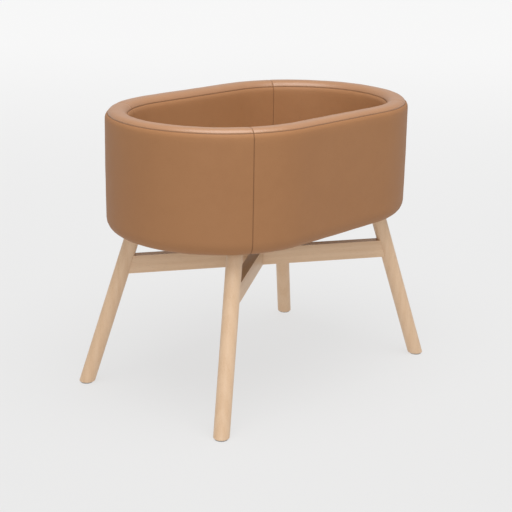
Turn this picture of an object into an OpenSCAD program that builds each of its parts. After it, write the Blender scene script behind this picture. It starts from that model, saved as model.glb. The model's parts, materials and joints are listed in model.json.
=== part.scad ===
// Oval bassinet with padded, covered walls on a splayed four-legged wooden stand.
// X runs along the basket, Y across it and Z up. The origin is on the floor under the middle.
// A wall section is a list of [inset, height] points: inset is measured inwards from the
// outside of the cover, and height from the floor.

/* [Basket] */
// Length of the basket over its covers
basket_l = 840; // [740:1:1010]
// Width of the basket over its covers
basket_w = 544; // [450:1:660]
// Height of the rim above the floor
rim_h = 702; // [590:1:850]
// Height of the basket from its underside to the rim
basket_h = 290; // [230:1:350]
// Radius of the rounded bottom edge
bottom_r = 31; // [24:1:38]
// Radius of the rim's outer edge
rim_r_out = 21; // [12:1:24]
// Radius of the rim's inner edge
rim_r_in = 26; // [12:1:29]
// Height of the padding between the hoop and the top of the rim
rim_pad = 30; // [30:1:40]
// Angle round each end, counted from the long side, at which the corner seams run
seam_angle = 29.5; // [15:1:60]
// Angle from the top of the rim's outer edge to the seam under it
outer_crease = 50; // [30:1:80]
// Angle from the top of the rim's inner edge to the seam under it
inner_crease = 60; // [30:1:80]
// Width of the hem turned under the basket
hem_w = 40; // [39:1:42]

/* [Wall layers] */
// Thickness of the covers and the lining
cover_t = 1.5; // [1:0.1:2]
// Thickness of the foam outside the shell
outer_foam_t = 10; // [8:0.5:12]
// Thickness of the bent plywood shell
shell_t = 9; // [7:0.5:12]
// Thickness of the foam inside the shell
inner_foam_t = 36; // [30:1:45]
// Width of the hoop that carries the rim
hoop_w = 36; // [28:1:36]
// Thickness of the hoop
hoop_t = 12; // [9:1:18]
// Thickness of the base board
base_t = 18; // [15:1:22]
// Thickness of the underside panel
under_t = 3; // [2.5:0.1:4]
// Thickness of the foam on the floor of the basket
floor_pad_t = 8; // [8:0.5:14]
// Thickness of the splice plates that join the two halves of the shell
splice_t = 6; // [4:1:9]

/* [Mattress] */
// Thickness of the mattress
mattress_t = 50; // [35:1:70]
// Clearance between the mattress and the lining
mattress_gap = 4; // [3:0.5:8]
// Thickness of the mattress cover
ticking_t = 1.2; // [0.8:0.1:2]
// Radius of the mattress edges
mattress_r = 12; // [6:1:15]

/* [Stand] */
// Diameter of the legs
leg_d = 38; // [34:1:46]
// Angle of the legs from upright
leg_lean = 18; // [12:0.1:20]
// Distance from the end of the basket to the middle of a foot
foot_inset_l = 41; // [30:1:60]
// Distance from the side of the basket to the middle of a foot
foot_inset_w = 34; // [30:1:60]
// Height of the cross rails
rail_h = 45; // [36:1:54]
// Thickness of the cross rails
rail_t = 25; // [20:1:32]
// Distance from the underside of the basket to the top of the rails
rail_drop = 83; // [60:1:120]
// Height of the tenons at the ends of the rails
tenon_h = 28; // [20:1:32]
// Thickness of the tenons
tenon_t = 10; // [8:1:14]
// Distance that a tenon passes the centre line of its leg
tenon_past = 6; // [3:0.5:8]
// Diameter of the foot glides
glide_d = 30; // [24:1:34]
// Thickness of the foot glides
glide_t = 3; // [2:0.5:5]

/* [Fasteners] */
// Diameter of the leg bolts
bolt_d = 8; // [6:1:8]
// Length of the leg bolts under the head
bolt_l = 50; // [44:1:54]
// Outside diameter of the threaded inserts in the legs
insert_d = 12; // [11:1:14]
// Length of the threaded inserts in the legs
insert_l = 25; // [18:1:27]
// Diameter of the washers under the bolt heads
washer_d = 24; // [20:1:30]
// Thickness of the washers
washer_t = 1.5; // [1:0.1:2]
// Height of the bolt heads
head_h = 5; // [4:0.5:5]
// Diameter of the wood screws
screw_d = 4; // [3:0.5:4.5]
// Diameter of the wood screw heads
screw_head_d = 8; // [7:0.5:9]

/* [Hidden] */
$fn = 64;

fit = 0.1;            // clearance of glued and screwed joints
soft_gap = 0.3;       // clearance between pieces that are only laid together
skin_gap = 0.2;       // clearance between the leather and the foam under it
through = 2;          // how far a cut runs past the face it opens
arc_steps = 8;        // straight steps in a quarter of a rounded section
wall = 2 * cover_t + outer_foam_t + shell_t + inner_foam_t;
under_z = rim_h - basket_h;
bottom_c = [bottom_r, under_z + bottom_r];
straight = basket_l - basket_w;
end_r = basket_w / 2;
shell_out = cover_t + outer_foam_t;
shell_in = shell_out + shell_t;
lining_in = wall - cover_t;
skin_in = cover_t + skin_gap;
foam_in = wall - skin_in;
base_z = under_z + under_t;
base_top = base_z + base_t;
base_inset = shell_in + soft_gap;
base_chamfer = 3;     // least chamfer on the lower edge of the base board
shell_lap = 10;       // how far the shell reaches down beside the base board
foam_least = 1.5;     // least height of foam under the outer corner of the shell
shell_z = max(base_top - shell_lap, bottom_curve(shell_out, skin_in) + foam_least);
// Upright and level size of the base board's chamfer, which clears the covers' rounded edge
chamfer_up = max(base_chamfer, bottom_curve(base_inset, cover_t + soft_gap) - base_z);
chamfer_in = max(base_chamfer, bottom_inset(base_z, cover_t + soft_gap) - base_inset);
hoop_top = rim_h - rim_pad;
shell_top = hoop_top - hoop_t;
hoop_in = shell_out + hoop_w;
pad_top = base_top + floor_pad_t;
floor_z = pad_top + cover_t;

rim_out_c = [rim_r_out, rim_h - rim_r_out];
rim_in_c = [wall - rim_r_in, rim_h - rim_r_in];
foam_turn = 55;       // angle that the outer foam wraps round the bottom edge

mattress_z = floor_z + soft_gap;
mattress_top = mattress_z + mattress_t;
mattress_inset = wall + mattress_gap;

foot = [basket_l / 2 - foot_inset_l, basket_w / 2 - foot_inset_w];
foot_reach = norm(foot);
rail_angle = atan2(foot[1], foot[0]);
rail_z = under_z - rail_drop - rail_h;
rail_mid = rail_z + rail_h / 2;
lap_screw_d = 6;
lap_head_d = 12;
lap_head_h = 3.5;
lap_insert_d = 9;
lap_insert_l = 12;
lap_cut = basket_w / 4;  // half the length of the bar that cuts the lap
leg_over = 60;        // extra length of a leg at both ends before it is cut level
bolt_head_d = 1.75 * bolt_d;
bolt_socket = 0.7 * bolt_d;
nail_d = 2.5;
nail_l = 16;
nail_seat = 1.5;      // height of the nail head inside the glide

splice_l = 120;
splice_gap = 21;      // distance of a splice plate from the base board and from the hoop
splice_z = base_top + splice_gap;
splice_h = shell_top - splice_gap - splice_z;
screw_short = 2;      // how far a screw stops short of the far face
splice_screw_l = splice_t + shell_t - screw_short;
shell_screw_l = 30;
hoop_screw_l = 36;
shell_screw_z = (shell_z + base_top) / 2;
screw_sink = 0.3;     // depth of the screw heads under the face of the wood
// Places of the screws along a side and round an end
side_xs = [-0.38, -0.16, 0.16, 0.38] * straight;
end_angles = [-60, -30, 0, 30, 60];
staple_w = 12;
staple_wire = 1.2;
staple_crown = 0.6;
staple_leg = 8;
staple_inset = 35;
staple_angles = [-80:16:80];
staple_xs = [-0.42, -0.25, -0.08, 0.08, 0.25, 0.42] * straight;

// The basket's rounded bottom edge, d inside its face: its height at inset x, and its inset
// at height z
function bottom_curve(x, d) = bottom_c[1] - sqrt(pow(bottom_r - d, 2) - pow(bottom_c[0] - x, 2));
function bottom_inset(z, d) = bottom_c[0] - sqrt(pow(bottom_r - d, 2) - pow(bottom_c[1] - z, 2));
// Distance of a leg's centre line from the middle of the stand at height z
function leg_reach(z) = foot_reach - z * tan(leg_lean);
// Points of an arc with centre c and radius r from angle a0 to a1
function arc(c, r, a0, a1) = [
    for (i = [0:arc_steps]) let (a = a0 + (a1 - a0) * i / arc_steps) c + r * [cos(a), sin(a)]
];
function reverse(v) = [for (i = [len(v) - 1:-1:0]) v[i]];
// The three stretches of the leather skin, d inside its outer face
function cover_path(d) = concat(
    [[hem_w, under_z + d]],
    arc(bottom_c, bottom_r - d, 270, 180),
    arc(rim_out_c, rim_r_out - d, 180, 90 + outer_crease)
);
function rim_path(d) = concat(
    arc(rim_out_c, rim_r_out - d, 90 + outer_crease, 90),
    arc(rim_in_c, rim_r_in - d, 90, 90 - inner_crease)
);
function lining_path(d) = concat(
    arc(rim_in_c, rim_r_in - d, 90 - inner_crease, 0),
    [[wall - d, pad_top]]
);
cover_section = concat(cover_path(0), reverse(cover_path(cover_t)));
rim_section = concat(rim_path(0), reverse(rim_path(cover_t)));
lining_section = concat(lining_path(0), reverse(lining_path(cover_t)));
outer_foam_section = concat(
    [[shell_out, hoop_top], [skin_in, hoop_top]],
    arc(bottom_c, bottom_r - skin_in, 180, 180 + foam_turn),
    [
        [shell_in, bottom_c[1] - (bottom_r - skin_in) * sin(foam_turn)],
        [shell_in, shell_z - soft_gap],
        [shell_out, shell_z - soft_gap]
    ]
);
inner_foam_section = [
    [shell_in, base_top], [foam_in, base_top], [foam_in, hoop_top],
    [hoop_in, hoop_top], [hoop_in, shell_top], [shell_in, shell_top]
];
rim_foam_section = concat(
    [[skin_in, hoop_top]],
    arc(rim_out_c, rim_r_out - skin_in, 180, 90),
    arc(rim_in_c, rim_r_in - skin_in, 90, 0),
    [[foam_in, hoop_top]]
);
shell_section = box_section(shell_out, shell_in, shell_z, shell_top);
base_section = concat(
    [[base_inset, base_z + chamfer_up], [base_inset + chamfer_in, base_z]],
    [[end_r, base_z], [end_r, base_top], [base_inset, base_top]]
);
mattress_side = mattress_inset + ticking_t;
core_r = mattress_r - ticking_t;
cap_section = concat(
    [[mattress_inset, mattress_z + ticking_t]],
    arc([mattress_inset + mattress_r, mattress_top - mattress_r], mattress_r, 180, 90),
    [[end_r, mattress_top], [end_r, mattress_top - ticking_t]],
    arc([mattress_inset + mattress_r, mattress_top - mattress_r], core_r, 90, 180),
    [[mattress_side, mattress_z + ticking_t]]
);
core_section = concat(
    [[mattress_side, mattress_z + ticking_t]],
    arc([mattress_inset + mattress_r, mattress_top - mattress_r], core_r, 180, 90),
    [[end_r, mattress_top - ticking_t], [end_r, mattress_z + ticking_t]]
);
// A rectangular section from inset x0 to x1 and height z0 to z1
function box_section(x0, x1, z0, z1) = [[x0, z0], [x1, z0], [x1, z1], [x0, z1]];

// ---- Sweeping a section round the oval ----

// The section along the front side, from x0 to x1
module side(section, x0 = -straight / 2, x1 = straight / 2) {
    translate([x0, -end_r, 0]) rotate([90, 0, 90]) linear_extrude(x1 - x0) polygon(section);
}
// The section round the right end, from angle a0 to a1
module end_arc(section, a0 = -90, a1 = 90) {
    translate([straight / 2, 0, 0]) rotate([0, 0, a0]) rotate_extrude(angle = a1 - a0)
        polygon([for (p = section) [end_r - p[0], p[1]]]);
}
module both_sides() {
    children();
    mirror([0, 1, 0]) children();
}
module both_ends() {
    children();
    mirror([1, 0, 0]) children();
}
// The section round the whole oval
module oval(section) {
    both_sides() side(section);
    both_ends() end_arc(section);
}
// The section between the corner seams along the front, and round the right end
module long_panel(section) {
    side(section);
    both_ends() end_arc(section, -90, seam_angle - 90);
}
module end_panel(section) {
    end_arc(section, seam_angle - 90, 90 - seam_angle);
}
// The section round the right-hand half of the oval
module half_oval(section) {
    both_sides() side(section, fit / 2, straight / 2);
    end_arc(section);
}
// Children stand on the outside of the oval with +Y pointing inwards
module around_oval(xs, angles) {
    both_sides() for (x = xs) translate([x, -end_r, 0]) children();
    both_ends() for (a = angles)
        translate([straight / 2, 0, 0]) rotate([0, 0, a]) translate([end_r, 0, 0])
            rotate([0, 0, 90]) children();
}

// ---- Stand ----

module at_corners() {
    both_sides() both_ends() children();
}
// Cylinder on the centre line of the front right leg, longer than the leg at both ends
module leg_round(d) {
    translate([foot[0], -foot[1], 0]) rotate([0, 0, -rail_angle]) rotate([0, -leg_lean, 0])
        translate([0, 0, -leg_over]) cylinder(d = d, h = under_z / cos(leg_lean) + 2 * leg_over);
}
module tenon(grow = 0) {
    inside = leg_reach(rail_mid) - leg_d;
    outside = leg_reach(rail_mid) + tenon_past + grow;
    rotate([0, 0, -rail_angle])
        translate([inside, -tenon_t / 2 - grow, rail_mid - tenon_h / 2 - grow])
            cube([outside - inside, tenon_t + 2 * grow, tenon_h + 2 * grow]);
}
function leg_top(z) = [
    leg_reach(under_z) * cos(rail_angle), -leg_reach(under_z) * sin(rail_angle), z
];
module leg() {
    color("burlywood") difference() {
        intersection() {
            leg_round(leg_d);
            translate([0, -basket_w, glide_t]) cube([basket_l, basket_w, under_z - glide_t]);
        }
        tenon(fit);
        translate(leg_top(under_z - insert_l)) cylinder(d = insert_d, h = insert_l + through);
        translate(leg_top(base_top + washer_t - bolt_l - fit))
            cylinder(d = bolt_d + 2 * fit, h = bolt_l);
        glide_nail(fit);
    }
}
module leg_front_right() { leg(); }
module leg_front_left() { mirror([1, 0, 0]) leg(); }
module leg_back_right() { mirror([0, 1, 0]) leg(); }
module leg_back_left() { mirror([1, 0, 0]) mirror([0, 1, 0]) leg(); }

// A bar through the middle of the stand, along the front right diagonal
module rail_bar(t, z0, z1, half = leg_reach(rail_mid)) {
    rotate([0, 0, -rail_angle]) translate([-half, -t / 2, z0]) cube([2 * half, t, z1 - z0]);
}
// The whole rail towards the front right leg, with coped ends and tenons
module rail() {
    difference() {
        rail_bar(rail_t, rail_z, rail_z + rail_h);
        leg_round(leg_d + 2 * fit);
        rotate([0, 0, 180]) leg_round(leg_d + 2 * fit);
    }
    tenon();
    rotate([0, 0, 180]) tenon();
}
module rail_over() {
    color("tan") difference() {
        rail();
        mirror([0, 1, 0]) rail_bar(rail_t + 2 * fit, rail_z - through, rail_mid, lap_cut);
        translate([0, 0, rail_mid - through])
            cylinder(d = lap_insert_d, h = lap_insert_l + through);
    }
}
module rail_under() {
    color("tan") difference() {
        mirror([0, 1, 0]) rail();
        rail_bar(rail_t + 2 * fit, rail_mid, rail_z + rail_h + through, lap_cut);
        translate([0, 0, rail_z - through]) cylinder(d = lap_screw_d + 2 * fit, h = rail_h);
        translate([0, 0, rail_z - through])
            cylinder(d = lap_head_d + 2 * fit, h = lap_head_h + through);
    }
}
module lap_insert() {
    color("goldenrod") translate([0, 0, rail_mid]) difference() {
        cylinder(d = lap_insert_d, h = lap_insert_l);
        translate([0, 0, -through])
            cylinder(d = lap_screw_d + 2 * fit, h = lap_insert_l + 2 * through);
    }
}
module lap_screw() {
    slot_w = 1.5;
    color("silver") difference() {
        translate([0, 0, rail_z]) union() {
            cylinder(d = lap_head_d, h = lap_head_h);
            cylinder(d = lap_screw_d, h = rail_h / 2 + lap_insert_l - through);
        }
        translate([-slot_w / 2, -lap_head_d, rail_z - through])
            cube([slot_w, 2 * lap_head_d, through + slot_w]);
    }
}
module leg_inserts() {
    color("goldenrod") at_corners() difference() {
        translate(leg_top(under_z - insert_l)) cylinder(d = insert_d, h = insert_l);
        translate(leg_top(under_z - insert_l - through))
            cylinder(d = bolt_d + 2 * fit, h = insert_l + 2 * through);
    }
}
module leg_bolts() {
    color("silver") at_corners() difference() {
        union() {
            translate(leg_top(base_top + washer_t - bolt_l)) cylinder(d = bolt_d, h = bolt_l);
            translate(leg_top(base_top + washer_t)) cylinder(d = bolt_head_d, h = head_h);
        }
        translate(leg_top(base_top + washer_t + head_h / 2))
            cylinder(d = bolt_socket, h = head_h, $fn = 6);
    }
}
module bolt_washers() {
    color("silver") at_corners() difference() {
        translate(leg_top(base_top)) cylinder(d = washer_d, h = washer_t);
        translate(leg_top(base_top - through)) cylinder(d = bolt_d + 2 * fit, h = 3 * through);
    }
}
module glide_nail(grow = 0) {
    translate([foot[0], -foot[1], nail_seat]) cylinder(d = nail_d + 2 * grow, h = nail_l + grow);
}
module foot_glides() {
    color("gray") at_corners() difference() {
        translate([foot[0], -foot[1], 0]) cylinder(d = glide_d, h = glide_t);
        glide_nail(fit);
    }
}
module glide_nails() {
    color("silver") at_corners() glide_nail();
}

// ---- Basket frame ----

module bolt_holes(d, z, h) {
    at_corners() translate(leg_top(z)) cylinder(d = d, h = h);
}
module base_board() {
    color("wheat") difference() {
        oval(base_section);
        bolt_holes(bolt_d + 2 * fit, base_z - through, base_t + 2 * through);
        shell_screw_set(fit);
    }
}
module underside_panel() {
    color("dimgray") difference() {
        oval(box_section(hem_w + soft_gap, end_r, under_z, base_z));
        bolt_holes(bolt_d + 2 * fit, under_z - through, under_t + 2 * through);
    }
}
module half_shell() {
    difference() {
        half_oval(shell_section);
        shell_screw_set(fit);
        splice_screw_set(fit);
        hoop_screw_set(fit);
    }
}
module shell_right() { color("wheat") half_shell(); }
module shell_left() { color("wheat") mirror([1, 0, 0]) half_shell(); }
module splice(grow = 0) {
    translate([-splice_l / 2 - grow, shell_in - end_r, splice_z - grow])
        cube([splice_l + 2 * grow, splice_t + grow, splice_h + 2 * grow]);
}
module splice_front() {
    color("wheat") difference() {
        splice();
        splice_screw_set(fit);
    }
}
module splice_back() { mirror([0, 1, 0]) splice_front(); }
// A countersunk wood screw pointing down, with its head just under the face at z = 0
module wood_screw(l, grow = 0) {
    head = (screw_head_d - screw_d) / 2;
    translate([0, 0, -screw_sink]) {
        translate([0, 0, -l - grow]) cylinder(d = screw_d + 2 * grow, h = l + grow);
        translate([0, 0, -head])
            cylinder(d1 = screw_d + 2 * grow, d2 = screw_head_d + 2 * grow, h = head);
        if (grow > 0) cylinder(d = screw_head_d + 2 * grow, h = through);
    }
}
module splice_screw_set(grow = 0) {
    both_sides() both_ends() for (z = [0.25, 0.75] * splice_h)
        translate([splice_l / 4, shell_in + splice_t - end_r, splice_z + z])
            rotate([-90, 0, 0]) wood_screw(splice_screw_l, grow);
}
module splice_screws() { color("silver") splice_screw_set(); }
module shell_screw_set(grow = 0) {
    around_oval(side_xs, end_angles)
        translate([0, shell_out, shell_screw_z]) rotate([90, 0, 0]) wood_screw(shell_screw_l, grow);
}
module shell_screws() { color("silver") shell_screw_set(); }
module hoop_screw_set(grow = 0) {
    around_oval(side_xs, end_angles)
        translate([0, (shell_out + shell_in) / 2, hoop_top]) wood_screw(hoop_screw_l, grow);
}
module hoop_screws() { color("silver") hoop_screw_set(); }
module rim_hoop() {
    color("wheat") difference() {
        oval(box_section(shell_out, hoop_in, shell_top, hoop_top));
        hoop_screw_set(fit);
    }
}

// ---- Padding and covers ----

module outer_foam() { color("ivory") oval(outer_foam_section); }
module inner_foam() {
    color("ivory") difference() {
        oval(inner_foam_section);
        both_sides() splice(soft_gap);
        bolt_holes(washer_d + 2 * soft_gap, base_top - through, floor_pad_t + through);
    }
}
module rim_foam() { color("ivory") oval(rim_foam_section); }
module floor_pad() {
    color("ivory") difference() {
        oval(box_section(lining_in + soft_gap, end_r, base_top, pad_top));
        bolt_holes(washer_d + 2 * soft_gap, base_top - through, floor_pad_t + 2 * through);
    }
}
module floor_lining() { color("peru") oval(box_section(wall, end_r, pad_top, floor_z)); }
// One staple through the hem into the base board
module staple() {
    translate([-staple_w / 2, staple_inset, under_z - staple_crown]) {
        cube([staple_w, staple_wire, staple_crown]);
        for (x = [0, staple_w - staple_wire]) translate([x, 0, 0])
            cube([staple_wire, staple_wire, staple_leg]);
    }
}
module hem_staples() { color("silver") around_oval(staple_xs, staple_angles) staple(); }

module cover_front() { color("peru") long_panel(cover_section); }
module cover_back() { color("peru") mirror([0, 1, 0]) long_panel(cover_section); }
module cover_right() { color("peru") end_panel(cover_section); }
module cover_left() { color("peru") mirror([1, 0, 0]) end_panel(cover_section); }
module rim_cover_front() { color("sandybrown") long_panel(rim_section); }
module rim_cover_back() { color("sandybrown") mirror([0, 1, 0]) long_panel(rim_section); }
module rim_cover_right() { color("sandybrown") end_panel(rim_section); }
module rim_cover_left() { color("sandybrown") mirror([1, 0, 0]) end_panel(rim_section); }
module lining_front() { color("peru") long_panel(lining_section); }
module lining_back() { color("peru") mirror([0, 1, 0]) long_panel(lining_section); }
module lining_right() { color("peru") end_panel(lining_section); }
module lining_left() { color("peru") mirror([1, 0, 0]) end_panel(lining_section); }

// ---- Mattress ----

module mattress_base() {
    color("linen") oval(box_section(mattress_inset, end_r, mattress_z, mattress_z + ticking_t));
}
module mattress_cover() { color("linen") oval(cap_section); }
module mattress_core() { color("ivory") oval(core_section); }

leg_front_left();
leg_front_right();
leg_back_left();
leg_back_right();
rail_over();
rail_under();
lap_screw();
lap_insert();
leg_inserts();
leg_bolts();
bolt_washers();
foot_glides();
glide_nails();
base_board();
underside_panel();
shell_left();
shell_right();
splice_front();
splice_back();
splice_screws();
shell_screws();
rim_hoop();
hoop_screws();
outer_foam();
inner_foam();
rim_foam();
floor_pad();
floor_lining();
hem_staples();
cover_front();
cover_back();
cover_left();
cover_right();
rim_cover_front();
rim_cover_back();
rim_cover_left();
rim_cover_right();
lining_front();
lining_back();
lining_left();
lining_right();
mattress_core();
mattress_cover();
mattress_base();
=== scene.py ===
import json
import math

import bmesh
import bpy
import numpy as np
from bpy.props import FloatProperty, FloatVectorProperty, IntProperty, PointerProperty
from mathutils import Matrix, Vector
from mathutils.bvhtree import BVHTree


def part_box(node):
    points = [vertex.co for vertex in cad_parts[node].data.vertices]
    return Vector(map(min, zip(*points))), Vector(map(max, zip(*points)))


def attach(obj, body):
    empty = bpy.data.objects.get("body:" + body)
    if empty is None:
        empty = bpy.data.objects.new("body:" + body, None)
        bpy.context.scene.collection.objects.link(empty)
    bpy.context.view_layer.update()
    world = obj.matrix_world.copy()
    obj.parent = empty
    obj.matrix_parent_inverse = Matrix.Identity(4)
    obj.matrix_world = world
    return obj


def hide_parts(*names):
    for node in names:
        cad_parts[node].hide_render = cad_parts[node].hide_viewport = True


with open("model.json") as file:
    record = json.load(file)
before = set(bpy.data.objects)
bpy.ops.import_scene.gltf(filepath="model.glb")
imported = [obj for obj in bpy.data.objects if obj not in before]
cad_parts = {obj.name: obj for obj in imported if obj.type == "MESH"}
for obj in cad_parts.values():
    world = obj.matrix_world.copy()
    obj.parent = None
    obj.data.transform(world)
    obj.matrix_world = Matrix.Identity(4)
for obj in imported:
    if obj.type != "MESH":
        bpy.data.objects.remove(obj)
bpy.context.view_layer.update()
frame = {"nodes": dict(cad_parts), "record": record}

bl_info = {
    "name": "Oval bassinet finish",
    "version": (1, 0, 0),
    "blender": (4, 5, 0),
    "location": "View3D > Sidebar > Bassinet",
    "description": "Leather, padding, wood and hardware of an oval bassinet on a stand",
    "category": "Object",
}

RECORD = frame["record"]

# Sizes of the basket, read from the CAD nodes, in metres
END_R = -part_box("cover_front")[0][1]
HALF_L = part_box("cover_right")[1][0]
STRAIGHT = 2 * (HALF_L - END_R)
WALL = END_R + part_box("floor_lining")[0][1]
UNDER_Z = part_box("cover_front")[0][2]
RIM_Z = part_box("rim_cover_front")[1][2]
PAD_TOP, FLOOR_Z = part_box("floor_lining")[0][2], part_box("floor_lining")[1][2]
HEM_IN = END_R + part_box("underside_panel")[0][1] - 0.0003
GLIDE_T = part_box("foot_glides")[1][2]
GLIDE_R = 0.015
INSERT_R = 0.006
FOOT = [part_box("foot_glides")[1][k] - GLIDE_R for k in (0, 1)]
LEG_TOP = [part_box("leg_inserts")[1][k] - INSERT_R for k in (0, 1)]
ARC = math.pi * END_R
ROUND = 2 * STRAIGHT + 2 * ARC
SIDES = ("front", "right", "back", "left")

# Distances between the points of a leather panel, and points round an oval pad
WALL_STEP, RIM_STEP, ROUND_STEP, PAD_STEPS = 0.008, 0.003, 0.0026, 320
# Fine relief of the leather: its swell, the gathers, their reach, and the widths of the painted
# shade at the seams
SWELL, GATHER, GATHER_REACH, SEAM_SHADE, SIDE_SHADE = 0.00016, 0.0105, 0.006, 0.0013, 0.0011
# Shift of the grain from one leg to the next
GRAIN_SHIFT = (0.23, 0.31)


# ---- Settings a user would change ----

def size(name, text, default, low, high):
    return FloatProperty(
        name=name, description=text, default=default, min=low, max=high, unit="LENGTH", precision=4
    )


def tint(name, text, default):
    return FloatVectorProperty(
        name=name, description=text, default=default, min=0, max=1, size=3, subtype="COLOR"
    )


def turn(name, text, degrees):
    return FloatProperty(
        name=name, description=text, default=math.radians(degrees), min=0, max=1.6, unit="ROTATION"
    )


class UpholsterySettings(bpy.types.PropertyGroup):
    bottom_r: size("Bottom radius", "Radius of the rounded bottom edge", 0.031, 0.01, 0.05)
    rim_out: size("Rim outer radius", "Radius of the rim's outer edge", 0.021, 0.01, 0.03)
    rim_in: size("Rim inner radius", "Radius of the rim's inner edge", 0.026, 0.01, 0.03)
    outer_crease: turn("Outer seam", "Angle from the rim's top to the seam outside", 50)
    inner_crease: turn("Inner seam", "Angle from the rim's top to the seam inside", 60)
    corner: turn("Corner seam", "Angle round each end to the upright seams", 29.5)
    skin: size("Leather", "Thickness of the leather", 0.0015, 0.001, 0.002)
    tuck: size("Tuck", "Depth of the narrow fold at a seam", 0.0011, 0, 0.004)
    tuck_w: size("Tuck width", "Width of the narrow fold at a seam", 0.0013, 0.0005, 0.005)
    dip: size("Dip", "Depth of the soft hollow along the rim's seams", 0.0012, 0, 0.004)
    dip_w: size("Dip width", "Width of the soft hollow along the rim's seams", 0.009, 0.002, 0.03)
    pucker: size("Pucker", "Depth of the gathers along the rim's seams", 0.0005, 0, 0.002)
    crown: size("Crown", "Swell of a padded panel between its seams", 0.0006, 0, 0.004)
    leather: tint("Leather", "Colour of the leather", (0.352, 0.170, 0.075))
    shade: tint("Leather shade", "Colour of the leather where it is darker", (0.340, 0.162, 0.071))
    foam: tint("Foam", "Colour of the foam", (0.82, 0.76, 0.58))


class StitchSettings(bpy.types.PropertyGroup):
    pitch: size("Pitch", "Distance from one stitch to the next", 0.0046, 0.002, 0.01)
    length: size("Length", "Length of one stitch", 0.0034, 0.001, 0.008)
    thread: size("Thread", "Radius of the thread", 0.0003, 0.0002, 0.001)
    seed: IntProperty(name="Seed", description="Seed of the uneven stitches", default=7)
    colour: tint("Thread", "Colour of the thread", (0.24, 0.12, 0.055))
    cotton: tint("Cotton thread", "Colour of the thread of the mattress", (0.72, 0.68, 0.58))


class WoodSettings(bpy.types.PropertyGroup):
    leg_r: size("Leg radius", "Radius of a leg", 0.019, 0.015, 0.025)
    foot_round: size("Foot rounding", "Radius of the edge of a foot", 0.0025, 0.0005, 0.006)
    rail_round: size("Rail rounding", "Radius of the edges of a rail", 0.0014, 0.0003, 0.004)
    light: tint("Early wood", "Lighter colour of the beech", (0.715, 0.505, 0.332))
    dark: tint("Late wood", "Darker colour of the beech", (0.645, 0.43, 0.262))
    fleck: tint("Flecks", "Colour of the short flecks", (0.41, 0.243, 0.122))


class MattressSettings(bpy.types.PropertyGroup):
    voxel: size("Voxel", "Mesh size for the simulation", 0.006, 0.004, 0.01)
    start: size("Start", "How much smaller the pad starts", 0.005, 0, 0.01)
    cap: size("Cap", "Furthest that the cloth may move", 0.007, 0.002, 0.02)
    pressure: FloatProperty(name="Pressure", description="Pressure in the pad", default=4.0)
    frames: IntProperty(name="Frames", description="Frames of the simulation", default=20)
    cotton: tint("Cotton", "Colour of the mattress cover", (0.80, 0.77, 0.70))


class StageSettings(bpy.types.PropertyGroup):
    eye: FloatVectorProperty(
        name="Eye", description="Place of the camera", default=(-2.18825, -1.98583, 1.20625),
        size=3, unit="LENGTH",
    )
    heading: turn("Heading", "Turn of the view from +Y towards +X", 47.63)
    pitch: turn("Pitch", "How far the camera looks down", 16.982)
    roll: turn("Roll", "Roll of the camera", 0.99)
    lens: FloatProperty(name="Lens", description="Focal length", default=84.89, unit="CAMERA")
    floor: tint("Floor", "Colour of the floor", (0.14, 0.14, 0.14))
    sky: FloatProperty(name="Sky", description="Strength of the light all round", default=0.55)
    key: FloatProperty(
        name="Key", description="Power of the light overhead", default=98, unit="POWER"
    )
    glow: FloatProperty(name="Glow", description="Light of the floor itself", default=0.88)


GROUPS = {
    "bassinet_upholstery": UpholsterySettings,
    "bassinet_stitches": StitchSettings,
    "bassinet_wood": WoodSettings,
    "bassinet_mattress": MattressSettings,
    "bassinet_stage": StageSettings,
}


# ---- Shader maths ----

class Value:
    """A shader socket that can be used in sums."""

    def __init__(self, look, socket):
        self.look, self.socket = look, socket

    def sum(self, operation, first, second):
        return self.look.node(
            "ShaderNodeMath", {"operation": operation}, {0: first, 1: second}
        )

    def __add__(self, other):
        return self.sum("ADD", self, other)

    __radd__ = __add__

    def __sub__(self, other):
        return self.sum("SUBTRACT", self, other)

    def __rsub__(self, other):
        return self.sum("SUBTRACT", other, self)

    def __mul__(self, other):
        return self.sum("MULTIPLY", self, other)

    __rmul__ = __mul__

    def __pow__(self, other):
        return self.sum("POWER", self, other)


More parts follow.
